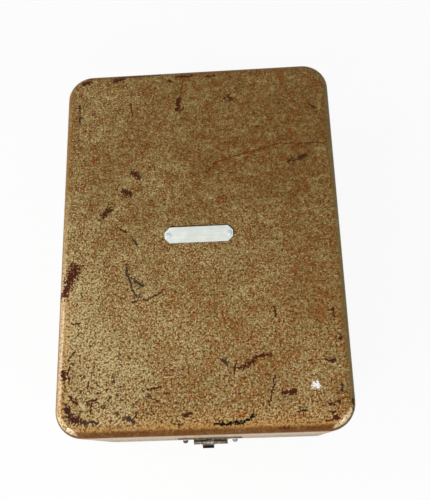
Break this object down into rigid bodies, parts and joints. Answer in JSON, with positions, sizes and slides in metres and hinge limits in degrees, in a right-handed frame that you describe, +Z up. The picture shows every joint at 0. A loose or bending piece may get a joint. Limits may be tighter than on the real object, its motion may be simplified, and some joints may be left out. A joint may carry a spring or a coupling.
{
  "type": "slide projecting lantern in carrying case",
  "caption": "Slide projecting lantern in a painted sheet steel carrying case with a hinged lid, front hasp latch and bare riveted plate; lamp house, slide carrier and rack-focused lens inside.",
  "frame": {"origin": "middle of the outline, on the surface that the feet stand on", "axes": "+X to the right seen from the latch, +Y from the latch to the hinges, +Z up"},
  "size_m": [0.229, 0.326, 0.1422],
  "materials": {
    "case_paint": "speckled khaki stove enamel, worn and rusted",
    "steel": "plain steel, dulled and lightly rusted",
    "plate_metal": "bare rolled aluminium",
    "foot_rubber": "matt black rubber",
    "bed_wood": "dark mahogany with a thin varnish",
    "black_enamel": "black crackle enamel",
    "lens_brass": "lacquered brass",
    "clear_glass": "clear polished glass",
    "mirror_metal": "silvered mirror",
    "porcelain": "glazed porcelain",
    "brown_resin": "dark brown moulded resin",
    "tungsten": "drawn wire"
  },
  "bodies": {
    "base": {"base_collar": "steel", "base_rivets": "steel", "base_tray": "case_paint", "bed_board": "bed_wood", "bed_screws": "steel", "catch_keeper": "steel", "condenser_lens_front": "clear_glass", "condenser_lens_rear": "clear_glass", "condenser_ring": "lens_brass", "condenser_spacer": "lens_brass", "condenser_tube": "black_enamel", "fixing_screws": "steel", "flange_screws": "lens_brass", "foot_rivets": "steel", "heat_glass": "clear_glass", "hinge_leaf_base_left": "steel", "hinge_leaf_base_right": "steel", "hinge_pins": "steel", "inlet_pins": "lens_brass", "inlet_shroud": "brown_resin", "lamp_bulb": "clear_glass", "lamp_cap": "lens_brass", "lamp_filament": "tungsten", "lamp_socket": "porcelain", "lamp_wires": "foot_rubber", "lamphouse_body": "black_enamel", "lamphouse_cover": "black_enamel", "lamphouse_cowl": "black_enamel", "lens_jacket": "lens_brass", "lens_standard": "black_enamel", "pinion_saddle": "lens_brass", "reflector": "mirror_metal", "reflector_bracket": "steel", "rubber_feet": "foot_rubber", "slide_stage": "black_enamel", "switch_body": "brown_resin", "switch_bush": "lens_brass"},
    "lid": {"lid": "case_paint", "hinge_leaf_lid_left": "steel", "hinge_leaf_lid_right": "steel", "hinge_rivets": "steel", "latch_plate": "steel", "latch_pin": "steel", "latch_rivets": "steel", "name_plate": "plate_metal", "name_plate_rivets": "plate_metal"},
    "latch": {"latch_hasp": "steel"},
    "lens": {"lens_barrel": "lens_brass", "objective_front": "clear_glass", "objective_rear": "clear_glass", "lens_front_ring": "lens_brass", "lens_rear_ring": "lens_brass", "lens_rack": "lens_brass"},
    "focus": {"focus_pinion": "steel", "focus_knobs": "lens_brass"},
    "carrier": {"slide_carrier": "bed_wood", "carrier_knobs": "lens_brass", "glass_slide_left": "clear_glass", "glass_slide_right": "clear_glass"},
    "switch": {"switch_toggle": "lens_brass"}
  },
  "joints": [
    {"name": "lid_swing", "type": "hinge", "parent": "base", "child": "lid", "pos_m": [0, 0.16165, 0.0562], "axis": [-1, 0, 0], "range_deg": [0, 110]},
    {"name": "latch_swing", "type": "hinge", "parent": "lid", "child": "latch", "pos_m": [0, -0.15695, 0.0609], "axis": [-1, 0, 0], "range_deg": [-5.5, 140]},
    {"name": "lens_focus", "type": "slide", "parent": "base", "child": "lens", "axis": [0, -1, 0], "range_m": [-0.003, 0.008]},
    {"name": "focus_turn", "type": "hinge", "parent": "base", "child": "focus", "pos_m": [0, -0.08255, 0.1177], "axis": [1, 0, 0], "range_deg": [-76.5, 28.8]},
    {"name": "carrier_slide", "type": "slide", "parent": "base", "child": "carrier", "axis": [1, 0, 0], "range_m": [0, 0.0554]},
    {"name": "switch_throw", "type": "hinge", "parent": "base", "child": "switch", "pos_m": [0.0505, 0.05355, 0.0612], "axis": [0, 1, 0], "range_deg": [-28, 0]}
  ],
  "couplings": [
    {"joint": "focus_turn", "follows": "lens_focus", "rad_per_m": -166.67}
  ]
}
